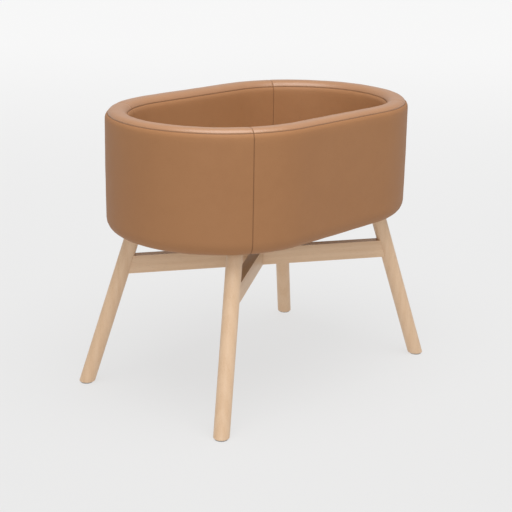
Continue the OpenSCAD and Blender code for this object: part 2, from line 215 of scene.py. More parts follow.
class Look:
    """One material: node() makes any node, the rest are short ways to common ones."""

    def __init__(self, name, **constants):
        self.material = bpy.data.materials.new(name)
        self.material.use_nodes = True
        self.tree = self.material.node_tree
        self.tree.nodes.clear()
        self.shader = self.tree.nodes.new("ShaderNodeBsdfPrincipled")
        out = self.tree.nodes.new("ShaderNodeOutputMaterial")
        self.tree.links.new(self.shader.outputs[0], out.inputs[0])
        for socket, value in constants.items():
            self.shader.inputs[socket.replace("_", " ")].default_value = value

    def put(self, socket, value):
        if isinstance(value, Value):
            self.tree.links.new(value.socket, socket)
        elif isinstance(value, (tuple, list)) and socket.type == "RGBA":
            socket.default_value = (*value[:3], 1)
        else:
            socket.default_value = value

    def node(self, kind, settings=None, sockets=None, out=0):
        made = self.tree.nodes.new(kind)
        for name, value in (settings or {}).items():
            setattr(made, name, value)
        for name, value in (sockets or {}).items():
            self.put(made.inputs[name], value)
        return Value(self, made.outputs[out])

    def place(self):
        return self.node("ShaderNodeTexCoord", out="Object")

    def attribute(self, name, out="Fac"):
        return self.node("ShaderNodeAttribute", {"attribute_name": name}, out=out)

    def stretch(self, vector, scale):
        return self.node("ShaderNodeVectorMath", {"operation": "MULTIPLY"}, {0: vector, 1: scale})

    def axis(self, vector, name):
        return self.node("ShaderNodeSeparateXYZ", {}, {0: vector}, out=name)

    def noise(self, vector, scale, detail=2.0, rough=0.5):
        sockets = {"Vector": vector, "Scale": scale, "Detail": detail, "Roughness": rough}
        return self.node("ShaderNodeTexNoise", {}, sockets)

    def cells(self, vector, scale, feature="F1"):
        sockets = {"Vector": vector, "Scale": scale}
        return self.node("ShaderNodeTexVoronoi", {"feature": feature}, sockets, out="Distance")

    def sine(self, value):
        return self.node("ShaderNodeMath", {"operation": "SINE"}, {0: value})

    def ease(self, value, start, end):
        sockets = {"Value": value, "From Min": start, "From Max": end}
        return self.node("ShaderNodeMapRange", {"interpolation_type": "SMOOTHSTEP"}, sockets)

    def mix(self, share, first, second):
        settings = {"data_type": "RGBA", "clamp_factor": True}
        return self.node("ShaderNodeMix", settings, {0: share, 6: first, 7: second}, out=2)

    def finish(self, colour, rough, height=None, depth=0.0003, strength=1.0, metal=None):
        self.put(self.shader.inputs["Base Color"], colour)
        self.put(self.shader.inputs["Roughness"], rough)
        if metal is not None:
            self.put(self.shader.inputs["Metallic"], metal)
        if height is not None:
            sockets = {"Height": height, "Distance": depth, "Strength": strength}
            self.put(self.shader.inputs["Normal"], self.node("ShaderNodeBump", {}, sockets))
        return self.material


def darker(colour, by):
    return tuple(c * by for c in colour)


def leather_look(name, colour, shade, lift=1.0, polish=0.0):
    """Smooth coated leather: soft mottling, fine pebble, painted shade at seam folds, painted
    light on rim tops.
    """
    look = Look(
        name, Coat_Weight=0.45 * polish, Coat_Roughness=0.4, Specular_IOR_Level=0.17 + 0.5 * polish
    )
    at = look.place()
    cloud = look.noise(at, 5.5, 3)
    mottle = look.noise(at, 38, 4, 0.6)
    pebble = look.cells(at, 620)
    fine = look.noise(at, 1500, 2)
    creases = look.noise(look.stretch(at, (1, 1, 2.4)), 95, 5, 0.62)
    seam = look.attribute("seam")
    top_light = look.attribute("top_light")
    tone = look.ease(cloud * 0.6 + mottle * 0.4, 0.36, 0.62)
    # lift brightens the whole leather: painted light on the rim and the lining
    base = look.mix(tone, darker(shade, lift), darker(colour, lift))
    # painted light: the rim is lighter where it faces up, as if lit from above; it is also a
    # little smoother there
    base = look.mix(top_light * 0.3, base, darker(colour, 1.22))
    pores = look.ease(pebble, 0.62, 0.8) * 0.1
    base = look.mix(pores, base, darker(shade, 0.6))
    # painted shade: darker in the folds at the seams
    base = look.mix(seam * 0.5, base, darker(shade, 0.35))
    rough = 0.5 - 0.1 * polish + mottle * 0.1 + seam * 0.2 - top_light * 0.05
    height = pebble * 0.5 + fine * 0.22 + creases * 0.4
    return look.finish(base, rough, height, 0.0003, 0.4)


def beech_look(name, light, dark, fleck):
    """Pale beech under a matt lacquer: faint rings, fine pores and short flecks."""
    look = Look(name, Coat_Weight=0.12, Coat_Roughness=0.3, Specular_IOR_Level=0.45)
    grain = look.attribute("grain", "Vector")
    warp = look.noise(look.stretch(grain, (14, 14, 0.9)), 1, 3)
    rings = look.sine(look.axis(grain, "X") * 300 + warp * 18) * 0.5 + 0.5
    fibre = look.noise(look.stretch(grain, (420, 420, 14)), 1, 4, 0.6)
    pores = look.noise(look.stretch(grain, (1500, 1500, 60)), 1, 2)
    dashes = look.cells(look.stretch(grain, (430, 430, 110)), 1)
    broad = look.noise(look.stretch(grain, (9, 9, 2)), 1, 2)
    tone = look.ease(rings * 0.16 + fibre * 0.5 + broad * 0.4, 0.3, 0.85)
    base = look.mix(tone, light, dark)
    base = look.mix(look.ease(pores, 0.56, 0.7) * 0.25, base, darker(dark, 0.6))
    flecks = (1 - look.ease(dashes, 0.1, 0.2)) * look.ease(fibre, 0.42, 0.6)
    base = look.mix(flecks * 0.4, base, fleck)
    rough = 0.4 + fibre * 0.14
    return look.finish(base, rough, fibre * 0.7 + pores * 0.3 - flecks * 0.4, 0.0002, 0.4)


def plywood_look(name, colour):
    """Sanded birch plywood: face grain on flat faces and glued layers on the edges."""
    look = Look(name, Specular_IOR_Level=0.3)
    at = look.place()
    normal = look.node("ShaderNodeNewGeometry", out="Normal")
    flat = look.ease(look.axis(normal, "Z") ** 2.0, 0.3, 0.7)
    grain = look.noise(look.stretch(at, (9, 260, 60)), 1, 4, 0.6)
    layers = look.sine(look.axis(at, "Z") * 3600) * 0.5 + 0.5
    face = look.mix(look.ease(grain, 0.35, 0.7), colour, darker(colour, 0.72))
    edge = look.mix(layers, darker(colour, 0.95), darker(colour, 0.5))
    base = look.mix(flat, edge, face)
    patches = look.noise(at, 16, 3)
    base = look.mix(patches * 0.25, base, darker(colour, 1.2))
    return look.finish(base, 0.55 + grain * 0.2, grain + layers * 0.3, 0.0003, 0.4)


def foam_look(name, colour):
    """Open-cell foam, a little yellowed."""
    look = Look(name, Specular_IOR_Level=0.2)
    at = look.place()
    cells = look.cells(at, 800)
    cloud = look.noise(at, 12, 3)
    base = look.mix(look.ease(cells, 0.25, 0.7), darker(colour, 0.72), colour)
    base = look.mix(cloud * 0.4, base, darker(colour, 0.88))
    return look.finish(base, 0.92 + cloud * 0.05, cells, 0.0008, 0.7)


def metal_look(name, colour, rough, lines):
    """Plated or turned metal with fine tool marks and dull spots."""
    look = Look(name, Specular_IOR_Level=0.5)
    at = look.place()
    marks = look.noise(look.stretch(at, (lines, lines, 90)), 1, 3)
    spots = look.noise(at, 170, 4, 0.65)
    dull = look.ease(spots, 0.52, 0.72)
    base = look.mix(dull * 0.5, colour, darker(colour, 0.62))
    return look.finish(
        base, rough + marks * 0.12 + dull * 0.16, marks, 0.0001, 0.35, metal=1 - dull * 0.15
    )


def plastic_look(name, colour):
    """Moulded plastic with a fine spark-eroded grain and scuffs."""
    look = Look(name, Specular_IOR_Level=0.4)
    at = look.place()
    grain = look.noise(at, 1400, 3)
    scuff = look.ease(look.noise(look.stretch(at, (40, 260, 40)), 1, 4), 0.55, 0.75)
    base = look.mix(scuff * 0.4, colour, darker(colour, 1.7))
    return look.finish(base, 0.5 + grain * 0.1 + scuff * 0.15, grain, 0.00015, 0.5)


def felt_look(name, colour):
    """Pressed non-woven cloth with tangled fibres and a grid of bonding points."""
    look = Look(name, Specular_IOR_Level=0.2)
    at = look.place()
    one = look.noise(look.stretch(at, (900, 60, 900)), 1, 3)
    two = look.noise(look.stretch(at, (60, 900, 900)), 1, 3)
    dots = look.sine(look.axis(at, "X") * 2100) * look.sine(look.axis(at, "Y") * 2100)
    bond = look.ease(dots, 0.4, 0.8)
    fibres = one * 0.5 + two * 0.5
    base = look.mix(look.ease(fibres, 0.35, 0.65), darker(colour, 0.7), darker(colour, 1.9))
    base = look.mix(bond * 0.4, base, darker(colour, 0.5))
    return look.finish(base, 0.86 + fibres * 0.1, fibres - bond * 0.6, 0.0004, 0.6)


def cotton_look(name, colour):
    """Plain-woven cotton with uneven yarns."""
    look = Look(name, Sheen_Weight=0.25, Sheen_Roughness=0.5, Specular_IOR_Level=0.2)
    at = look.place()
    uneven = look.noise(at, 120, 3) * 1.4
    warp = look.sine(look.axis(at, "X") * 5200 + uneven) * 0.5 + 0.5
    weft = look.sine(look.axis(at, "Y") * 5200 + uneven) * 0.5 + 0.5
    side = look.sine(look.axis(at, "Z") * 5200 + uneven) * 0.5 + 0.5
    weave = warp * weft + (1 - warp) * (1 - weft) + side * 0.25
    slub = look.noise(look.stretch(at, (30, 500, 500)), 1, 3)
    cloud = look.noise(at, 9, 3)
    base = look.mix(look.ease(weave, 0.1, 0.9), darker(colour, 0.86), colour)
    base = look.mix(look.ease(slub, 0.58, 0.75) * 0.35, base, darker(colour, 0.8))
    base = look.mix(cloud * 0.25, base, darker(colour, 0.92))
    base = look.mix(look.attribute("seam") * 0.4, base, darker(colour, 0.62))
    return look.finish(base, 0.84 + weave * 0.08, weave + slub * 0.8, 0.0003, 0.5)


def thread_look(name, colour):
    """Twisted thread."""
    look = Look(name, Sheen_Weight=0.2, Specular_IOR_Level=0.3)
    at = look.place()
    along = look.axis(at, "X") + look.axis(at, "Y") + look.axis(at, "Z")
    twist = look.sine(along * 9000) * 0.5 + 0.5
    base = look.mix(twist * 0.6 + look.noise(at, 300, 2) * 0.3, colour, darker(colour, 0.55))
    return look.finish(base, 0.6 + twist * 0.1, twist, 0.0001, 0.5)


def floor_look(name, colour, glow):
    """Pale matt floor that is lit from below, like a light table, and is brighter far off."""
    look = Look(name, Specular_IOR_Level=0.2, Emission_Strength=glow)
    at = look.place()
    ahead, near, far = (0.74, 0.67), -2.2, 7.0
    pale, bright = (0.715,) * 3, (0.94,) * 3
    away = look.ease(look.axis(at, "X") * ahead[0] + look.axis(at, "Y") * ahead[1], near, far)
    look.put(look.shader.inputs["Emission Color"], look.mix(away, pale, bright))
    cloud = look.noise(at, 1.2, 2)
    base = look.mix(cloud * 0.5, colour, darker(colour, 0.985))
    return look.finish(base, 0.75 + cloud * 0.05, cloud, 0.0002, 0.1)


def looks():
    """The materials, made once and kept by name."""
    if "bassinet_leather_wall" in bpy.data.materials:
        return {
            m.name.removeprefix("bassinet_"): m
            for m in bpy.data.materials
            if m.name.startswith("bassinet_")
        }
    scene = bpy.context.scene
    soft, thread = scene.bassinet_upholstery, scene.bassinet_stitches
    wood, pad = scene.bassinet_wood, scene.bassinet_mattress
    hide, shade = tuple(soft.leather), tuple(soft.shade)
    by_slot = {s["slot"]: s["base_color"] for s in RECORD["materials"]}
    leather_look("bassinet_leather_wall", hide, shade)
    # The rim is a 7% lighter copy of the wall's leather and the lining a 6% lighter one, as
    # painted light; the rim is also glossier.
    leather_look("bassinet_leather_rim", hide, shade, 1.07, 1.0)
    leather_look("bassinet_leather_lining", hide, shade, 1.06, 0.1)
    beech_look("bassinet_beech", tuple(wood.light), tuple(wood.dark), tuple(wood.fleck))
    plywood_look("bassinet_plywood", by_slot["plywood"])
    foam_look("bassinet_foam", tuple(soft.foam))
    metal_look("bassinet_zinc_steel", by_slot["zinc_steel"], 0.3, 900)
    metal_look("bassinet_brass", by_slot["brass"], 0.22, 1400)
    plastic_look("bassinet_glide_plastic", by_slot["glide_plastic"])
    felt_look("bassinet_underside_cloth", by_slot["underside_cloth"])
    cotton_look("bassinet_ticking", tuple(pad.cotton))
    thread_look("bassinet_thread", tuple(thread.colour))
    thread_look("bassinet_cotton_thread", tuple(thread.cotton))
    return looks()


# ---- The oval and the wall's section ----

def plan(along, inset):
    """Place and outward direction at a distance round the outside of the oval."""
    half, q = STRAIGHT / 2, np.mod(along, ROUND)
    at = [0, half, half + ARC, 3 * half + ARC, 3 * half + 2 * ARC, ROUND]
    centre = np.interp(q, at, [0, half, half, -half, -half, 0])
    angle = np.radians(np.interp(q, at, [-90, -90, 90, 90, 270, 270]))
    out = np.stack([np.cos(angle), np.sin(angle)], -1)
    spot = out * (END_R - inset)[..., None]
    spot[..., 0] += centre
    return spot, out


def line(a, b, facing):
    return [(*a, *facing), (*b, *facing)]


def arc(centre, radius, start, end):
    turns = np.radians(np.linspace(start, end, max(3, int(abs(end - start) / 3))))
    return [
        (centre[0] + radius * c, centre[1] + radius * s, c, s)
        for c, s in ((math.cos(a), math.sin(a)) for a in turns)
    ]


class Section:
    """A stretch of the wall's outline: inset, height and the way it faces, by its length."""

    def __init__(self, *parts):
        rows = np.array([p for part in parts for p in part])
        step = np.hypot(*np.diff(rows[:, :2], axis=0).T)
        keep = np.concatenate([[True], step > 1e-7])
        self.rows = rows[keep]
        self.at = np.concatenate([[0], np.cumsum(step[step > 1e-7])])
        self.length = self.at[-1]

    def __call__(self, t):
        found = [np.interp(t, self.at, self.rows[:, k]) for k in range(4)]
        facing = np.stack(found[2:], -1)
        facing /= np.linalg.norm(facing, axis=-1, keepdims=True)
        return found[0], found[1], facing


def sections():
    """The outer wall, the rim and the lining, each from its outer end inwards."""
    s = bpy.context.scene.bassinet_upholstery
    outer = 90 + math.degrees(s.outer_crease)
    inner = 90 - math.degrees(s.inner_crease)
    low = (s.bottom_r, UNDER_Z + s.bottom_r)
    out = (s.rim_out, RIM_Z - s.rim_out)
    inn = (WALL - s.rim_in, RIM_Z - s.rim_in)
    wall = Section(
        line((HEM_IN, UNDER_Z), (s.bottom_r, UNDER_Z), (0, -1)),
        arc(low, s.bottom_r, 270, 180),
        line((0, low[1]), (0, out[1]), (-1, 0)),
        arc(out, s.rim_out, 180, outer),
    )
    rim = Section(
        arc(out, s.rim_out, outer, 90),
        line((s.rim_out, RIM_Z), (inn[0], RIM_Z), (0, 1)),
        arc(inn, s.rim_in, 90, inner),
    )
    lining = Section(
        arc(inn, s.rim_in, inner, 0),
        line((WALL, inn[1]), (WALL, PAD_TOP), (1, 0)),
    )
    return {"wall": wall, "rim": rim, "lining": lining}


def panel_span(side):
    """Where a panel starts and ends round the oval."""
    corner = STRAIGHT / 2 + END_R * bpy.context.scene.bassinet_upholstery.corner
    stops = [-corner, corner, ROUND / 2 - corner, ROUND / 2 + corner, ROUND - corner]
    first = SIDES.index(side)
    return stops[first], stops[first + 1]


def spaced(length, step, near_start, near_end):
    """Stations from 0 to length, close together beside a seam."""
    close = np.array([0, 0.5, 1, 1.5, 2.1, 2.9, 3.9, 5.2, 7, 9.5, 13]) / 1000
    middle = np.linspace(0, length, max(2, int(length / step)) + 1)
    low = close if near_start else close[:1]
    high = length - close if near_end else np.array([length])
    middle = middle[(middle > low.max() + step / 2) & (middle < high.min() - step / 2)]
    return np.unique(np.concatenate([low, middle, high]))


def fold(distance, depth, width):
    return depth * np.exp(-((distance / width) ** 2))


def ripple(along, t, scale):
    """A slow, uneven swell of hand-stretched leather."""
    return scale * (
        np.sin(along * 31 + 3 * np.sin(t * 21)) * np.sin(t * 37 + 1.3)
        + 0.6 * np.sin(along * 67 + t * 29 + 0.7)
        + 0.4 * np.sin(along * 113 - t * 83)
    )


# Which ends of a section are seams with a soft hollow
RIM_SEAMS = {"wall": (False, True), "rim": (True, True), "lining": (True, False)}


def skin_offset(kind, section, along, t, span):
    """How far the leather stands out from the plain shape, and how near it is to a seam, for the
    painted shade there.
    """
    s = bpy.context.scene.bassinet_upholstery
    ends = [(t, RIM_SEAMS[kind][0]), (section.length - t, RIM_SEAMS[kind][1])]
    sides = [along - span[0], span[1] - along]
    out = s.crown * np.sin(np.pi * t / section.length) ** 0.6 + ripple(along, t, SWELL)
    near = np.zeros_like(out)
    for distance, is_seam in ends:
        if is_seam:
            gather = 0.5 + 0.5 * np.sin(along * 2 * np.pi / GATHER + 2.2 * np.sin(along * 47))
            out -= fold(distance, s.dip, s.dip_w) + fold(distance, s.tuck, s.tuck_w)
            out -= s.pucker * gather * np.exp(-distance / GATHER_REACH)
            near = np.maximum(near, fold(distance, 1, SEAM_SHADE))
    for distance in sides:
        out -= fold(distance, s.dip * 0.35, s.dip_w * 0.8) + fold(distance, s.tuck, s.tuck_w * 0.8)
        near = np.maximum(near, fold(distance, 1, SIDE_SHADE))
    return out, near


def surface(kind, section, along, t, span, extra=0.0):
    inset, height, facing = section(t)
    spot, radial = plan(along, inset)
    normal = np.concatenate([-facing[..., :1] * radial, facing[..., 1:]], -1)
    out, near = skin_offset(kind, section, along, t, span)
    place = np.concatenate([spot, height[..., None]], -1) + normal * (out + extra)[..., None]
    return place, normal, near


def linked(name, data):
    """A new object in the scene that shows the given data."""
    new = bpy.data.objects.new(name, data)
    bpy.context.collection.objects.link(new)
    return new


def vertices(piece):
    """The places of a piece's vertices, one row each."""
    return np.array([v.co[:] for v in piece.data.vertices])


def shade_smooth(mesh, degrees=None):
    """Smooth shading; edges sharper than the angle stay sharp where one is given."""
    mesh.polygons.foreach_set("use_smooth", [True] * len(mesh.polygons))
    if degrees is not None:
        mesh.set_sharp_from_angle(angle=math.radians(degrees))


def fix_normals(piece):
    work = bmesh.new()
    work.from_mesh(piece.data)
    bmesh.ops.recalc_face_normals(work, faces=work.faces)
    work.to_mesh(piece.data)
    work.free()


def made(name, points, faces, material, smooth=60, floats=None, vectors=None):
    """A mesh object at the origin, shaded smooth up to the given angle."""
    mesh = bpy.data.meshes.new(name)
    mesh.from_pydata([tuple(p) for p in points], [], faces)
    for label, values in (floats or {}).items():
        mesh.attributes.new(label, "FLOAT", "POINT").data.foreach_set("value", np.ravel(values))
    for label, values in (vectors or {}).items():
        data = mesh.attributes.new(label, "FLOAT_VECTOR", "POINT").data
        data.foreach_set("vector", np.ravel(values))
    shade_smooth(mesh, smooth)
    mesh.materials.append(material)
    mesh.validate()
    return linked(name, mesh)


def grid_faces(nu, nv, start, flip):
    """Quads of a grid of nu by nv points, numbered from start."""
    i, j = np.meshgrid(np.arange(nu - 1), np.arange(nv - 1), indexing="ij")
    a = start + i * nv + j
    quads = np.stack([a, a + nv, a + nv + 1, a + 1], -1).reshape(-1, 4)
    return (quads[:, ::-1] if flip else quads).tolist()


def tube_faces(n, rings):
    """Faces of a stack of rings of n points each, closed at both ends."""
    faces = [
        (k * n + i, k * n + (i + 1) % n, (k + 1) * n + (i + 1) % n, (k + 1) * n + i)
        for k in range(rings - 1) for i in range(n)
    ]
    return faces + [tuple(reversed(range(n))), tuple(range((rings - 1) * n, rings * n))]


def shell(name, outer, inner, normal, material, floats):
    """A closed skin between two grids of points; normal points from inner to outer."""
    nu, nv = outer.shape[:2]
    mid = (nu // 2, nv // 2)
    a = outer[mid[0] + 1, mid[1]] - outer[mid]
    b = outer[mid[0], mid[1] + 1] - outer[mid]
    flip = np.dot(np.cross(a, b), normal[mid]) < 0
    count = nu * nv
    faces = grid_faces(nu, nv, 0, flip) + grid_faces(nu, nv, count, not flip)
    index = np.arange(count).reshape(nu, nv)
    loop = np.concatenate([index[:-1, 0], index[-1, :-1], index[:0:-1, -1], index[0, :0:-1]])
    after = np.roll(loop, -1)
    rim = np.stack([loop, loop + count, after + count, after], -1)
    faces += (rim[:, ::-1] if flip else rim).tolist()
    points = np.concatenate([outer.reshape(-1, 3), inner.reshape(-1, 3)])
    floats = {k: np.concatenate([v.ravel(), v.ravel()]) for k, v in floats.items()}
    return made(name, points, faces, material, 60, floats)


def leather_panel(kind, side):
    """One sewn panel of leather, tucked in at its seams."""
    s = bpy.context.scene.bassinet_upholstery
    section = sections()[kind]
    span = panel_span(side)
    t = spaced(section.length, RIM_STEP if kind == "rim" else WALL_STEP, *RIM_SEAMS[kind])
    along = span[0] + spaced(span[1] - span[0], ROUND_STEP, True, True)
    along, t = np.meshgrid(along, t, indexing="ij")
    place, normal, near = surface(kind, section, along, t, span)
    back = place - normal * s.skin
    # how much the rim faces up, which sets the painted light from above on its top
    top_light = np.clip(normal[..., 2], 0, 1) ** 3 if kind == "rim" else np.zeros_like(near)
    node = {"wall": "cover", "rim": "rim_cover", "lining": "lining"}[kind]
    slot = f"leather_{kind}"
    piece = shell(
        f"{kind}_{side}", place, back, normal, looks()[slot], {"seam": near, "top_light": top_light}
    )
    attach(piece, "bassinet")
    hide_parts(f"{node}_{side}")
    return piece


def ring(name, section, material, step=0.012):
    """A closed section swept all round the oval."""
    section = np.array(section)
    along = np.arange(0, ROUND, step)
    along = np.linspace(0, ROUND, len(along) + 1)[:-1]
    grid = [plan(along, np.full_like(along, d))[0] for d in section[:, 0]]
    points = np.stack(
        [np.concatenate([g, np.full((len(g), 1), z)], -1) for g, z in zip(grid, section[:, 1])], 1
    )
    nu, nv = points.shape[:2]
    i, j = np.meshgrid(np.arange(nu), np.arange(nv), indexing="ij")
    a, b = i * nv + j, ((i + 1) % nu) * nv + j
    c, d = ((i + 1) % nu) * nv + (j + 1) % nv, i * nv + (j + 1) % nv
    faces = np.stack([a, b, c, d], -1).reshape(-1, 4)
    shoelace = np.sum(
        section[:, 0] * np.roll(section[:, 1], -1) - np.roll(section[:, 0], -1) * section[:, 1]
    )
    if shoelace < 0:
        faces = faces[:, ::-1]
    return made(name, points.reshape(-1, 3), faces.tolist(), material, 35)


def oval_pad(name, inset, low, high, radius, material, smooth):
    """An oval pad with flat faces and rounded edges."""
    along = np.linspace(0, ROUND, PAD_STEPS + 1)[:-1]
    turns = np.radians(np.linspace(-90, 90, 11))
    points = []
    for a in turns:
        z = (high - radius if a >= 0 else low + radius) + radius * math.sin(a)
        spot, _ = plan(along, np.full_like(along, inset + radius * (1 - math.cos(a))))
        points += [(x, y, z) for x, y in spot]
    piece = made(name, points, tube_faces(len(along), len(turns)), material, smooth)
    fix_normals(piece)
    return piece


def corner_solid(name):
    """Middle and half size of the one of a node's four solids at the back right corner."""
    spots = vertices(frame["nodes"][name])
    spots = spots[(spots[:, 0] > 0) & (spots[:, 1] > 0)]
    low, high = spots.min(0), spots.max(0)
    return (low + high) / 2, (high - low) / 2


def bake(piece):
    """Applies a piece's modifiers."""
    bpy.context.view_layer.update()
    seen = piece.evaluated_get(bpy.context.evaluated_depsgraph_get())
    result = bpy.data.meshes.new_from_object(seen)
    piece.modifiers.clear()
    piece.data = result


# ---- Operators ----

class BassinetOperator(bpy.types.Operator):
    bl_options = {"REGISTER", "UNDO"}

    def execute(self, context):
        self.build(context.scene)
        return {"FINISHED"}


class BASSINET_OT_leather(BassinetOperator):
    """Makes the twelve sewn leather panels of the wall, the rim and the lining"""

    bl_idname = "bassinet.leather"
    bl_label = "Leather panels"

    def build(self, scene):
        for kind in RIM_SEAMS:
            for side in SIDES:
                leather_panel(kind, side)


class BASSINET_OT_floor_panel(BassinetOperator):
    """Makes the leather floor of the basket, sewn to the lining round its edge"""

    bl_idname = "bassinet.floor_panel"
    bl_label = "Floor panel"

    def build(self, scene):
        rim = np.array([0, 0.5, 1, 1.6, 2.4, 3.6, 5.5, 8.5, 13, 20, 32]) / 1000
        strip = 0.004  # half the width of the strip down the middle
        inner = np.linspace(0.05, END_R - WALL - strip, 10)
        inset = WALL + np.concatenate([rim, inner])
        along = np.linspace(0, ROUND, 360)
        along, inset = np.meshgrid(along[:-1], inset, indexing="ij")
        spot, _ = plan(along, inset)
        edge = inset - WALL
        height = FLOOR_Z - fold(edge, 0.0007, 0.0016) + ripple(along, inset, 0.00004)
        height += 0.0004 * (1 - np.exp(-edge / 0.02))
        top = np.concatenate([spot, height[..., None]], -1)
        nu, nv = top.shape[:2]
        flat = np.array([0, 0, 1.0])
        count = nu * nv
        low = top.copy()
        low[..., 2] = PAD_TOP
        faces = grid_faces(nu, nv, 0, False) + grid_faces(nu, nv, count, True)
        i = np.arange(nu)
        j = (i + 1) % nu
        # the last column joins the first
        k = np.arange(nv - 1)
        a = (nu - 1) * nv + k
        seam = np.stack([a, k, k + 1, a + 1], -1)
        faces += seam.tolist() + (seam[:, ::-1] + count).tolist()
        faces += np.stack([i * nv, i * nv + count, j * nv + count, j * nv], -1).tolist()
        # the strip down the middle, from the innermost ring
        core = (i * nv + nv - 1).tolist()
        faces += [core, [v + count for v in reversed(core)]]
        # painted shade in the fold where the floor meets the lining
        near = fold(edge, 1, SEAM_SHADE)
        piece = made(
            "floor_panel",
            np.concatenate([top.reshape(-1, 3), low.reshape(-1, 3)]),
            faces,
            looks()["leather_lining"],
            50,
            # no painted light from above on the floor panel
            {"seam": np.tile(near.ravel(), 2), "top_light": np.zeros(2 * count)},
        )
        fix_normals(piece)
        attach(piece, "bassinet")
        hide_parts("floor_lining")


class BASSINET_OT_padding(BassinetOperator):
    """Makes the foam behind the leather, a little below it so that seams can tuck in"""

    bl_idname = "bassinet.padding"
    bl_label = "Padding"

    def build(self, scene):
        s = scene.bassinet_upholstery
        below = 0.0062  # depth of the rim's foam under the outside of the leather
        thin = 0.0028  # the same on the walls
        gap = 0.0003  # between the rim's foam and the hoop
        drop = 0.012  # from the middle of the bottom curve to the end of the foam
        shell_out = END_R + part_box("shell_left")[0][1]
        hoop_low, hoop_top = (corner[2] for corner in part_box("rim_hoop"))
        foam = looks()["foam"]
        outer, inner = (s.rim_out, RIM_Z - s.rim_out), (WALL - s.rim_in, RIM_Z - s.rim_in)
        low = (s.bottom_r, UNDER_Z + s.bottom_r)
        pieces = {
            "outer_foam": [(shell_out, hoop_low), (thin, hoop_low)]
            + [p[:2] for p in arc(low, s.bottom_r - thin, 180, 215)]
            + [(shell_out, low[1] - drop)],
            "rim_foam": [(below, hoop_top + gap)]
            + [p[:2] for p in arc(outer, s.rim_out - below, 180, 90)]
            + [p[:2] for p in arc(inner, s.rim_in - below, 90, 0)]
            + [(WALL - below, hoop_top + gap)],
        }
        inner_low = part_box("inner_foam")[0]
        inner_out = END_R + inner_low[1]
        pieces["inner_foam"] = [
            (inner_out, inner_low[2]), (WALL - thin, inner_low[2]),
            (WALL - thin, hoop_low), (inner_out, hoop_low),
        ]
        pads = {
            node: ring(node.split("_")[0] + "_padding", section, foam)
            for node, section in pieces.items()
        }
        pads["floor_pad"] = self.floor_padding(foam)
        for node, piece in pads.items():
            fix_normals(piece)
            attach(piece, "bassinet")
            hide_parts(node)

    def floor_padding(self, foam):
        """The pad under the floor panel, with a hole over each leg bolt."""
        low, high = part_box("floor_pad")
        piece = oval_pad("floor_padding", END_R + low[1], low[2], high[2], 0.003, foam, 50)
        middle, half = corner_solid("bolt_washers")
        play = 0.0003  # between a washer and its hole
        work = bmesh.new()
        for x in (-middle[0], middle[0]):
            for y in (-middle[1], middle[1]):
                bmesh.ops.create_cone(
                    work, cap_ends=True, segments=32, depth=0.1,
                    radius1=half[0] + play, radius2=half[0] + play,
                    matrix=Matrix.Translation((x, y, middle[2])),
                )
        mesh = bpy.data.meshes.new("drill")
        work.to_mesh(mesh)
        work.free()
        drill = linked("drill", mesh)
        holes = piece.modifiers.new("holes", "BOOLEAN")
        holes.operation, holes.solver, holes.object = "DIFFERENCE", "EXACT", drill
        bake(piece)
        bpy.data.objects.remove(drill)
        return piece


def stitch_tree():
    """Geometry nodes that lay stitches along the edges of a mesh."""
    tree = bpy.data.node_groups.new("stitch_run", "GeometryNodeTree")
    sides = (
        ("Seam", "INPUT", "Geometry"), ("Pitch", "INPUT", "Float"), ("Length", "INPUT", "Float"),
        ("Thread radius", "INPUT", "Float"), ("Seed", "INPUT", "Int"),
        ("Thread", "INPUT", "Material"), ("Stitches", "OUTPUT", "Geometry"),
    )
    for name, side, kind in sides:
        tree.interface.new_socket(name, in_out=side, socket_type=f"NodeSocket{kind}")

    def node(kind, settings=None, sockets=None):
        made_node = tree.nodes.new(kind)
        for name, value in (settings or {}).items():
            setattr(made_node, name, value)
        for name, value in (sockets or {}).items():
            if isinstance(value, bpy.types.NodeSocket):
                tree.links.new(value, made_node.inputs[name])
            else:
                made_node.inputs[name].default_value = value
        return made_node

    given = node("NodeGroupInput").outputs
    curve = node("GeometryNodeMeshToCurve", {}, {"Mesh": given["Seam"]})
    spots = node(
        "GeometryNodeResampleCurve", {"mode": "LENGTH"},
        {"Curve": curve.outputs[0], "Length": given["Pitch"]},
    )
    ball = node("GeometryNodeMeshUVSphere", {}, {"Segments": 6, "Rings": 4, "Radius": 1.0})
    smooth = node("GeometryNodeSetShadeSmooth", {}, {0: ball.outputs[0]})
    tangent = node("GeometryNodeInputTangent")
    turned = node(
        "FunctionNodeAlignRotationToVector", {"axis": "Z"}, {"Vector": tangent.outputs[0]}
    )
    uneven = node(
        "FunctionNodeRandomValue", {"data_type": "FLOAT"},
        {2: 0.42, 3: 0.52, "Seed": given["Seed"]},
    )
    half = node(
        "ShaderNodeMath", {"operation": "MULTIPLY"}, {0: uneven.outputs[1], 1: given["Length"]}
    )
    size_of = node(
        "ShaderNodeCombineXYZ", {},
        {0: given["Thread radius"], 1: given["Thread radius"], 2: half.outputs[0]},
    )
    laid = node(
        "GeometryNodeInstanceOnPoints", {},
        {
            "Points": spots.outputs[0], "Instance": smooth.outputs[0],
            "Rotation": turned.outputs[0], "Scale": size_of.outputs[0],
        },
    )
    solid = node("GeometryNodeRealizeInstances", {}, {0: laid.outputs[0]})
    dressed = node(
        "GeometryNodeSetMaterial", {}, {0: solid.outputs[0], "Material": given["Thread"]}
    )
    node("NodeGroupOutput", {}, {0: dressed.outputs[0]})
    return tree


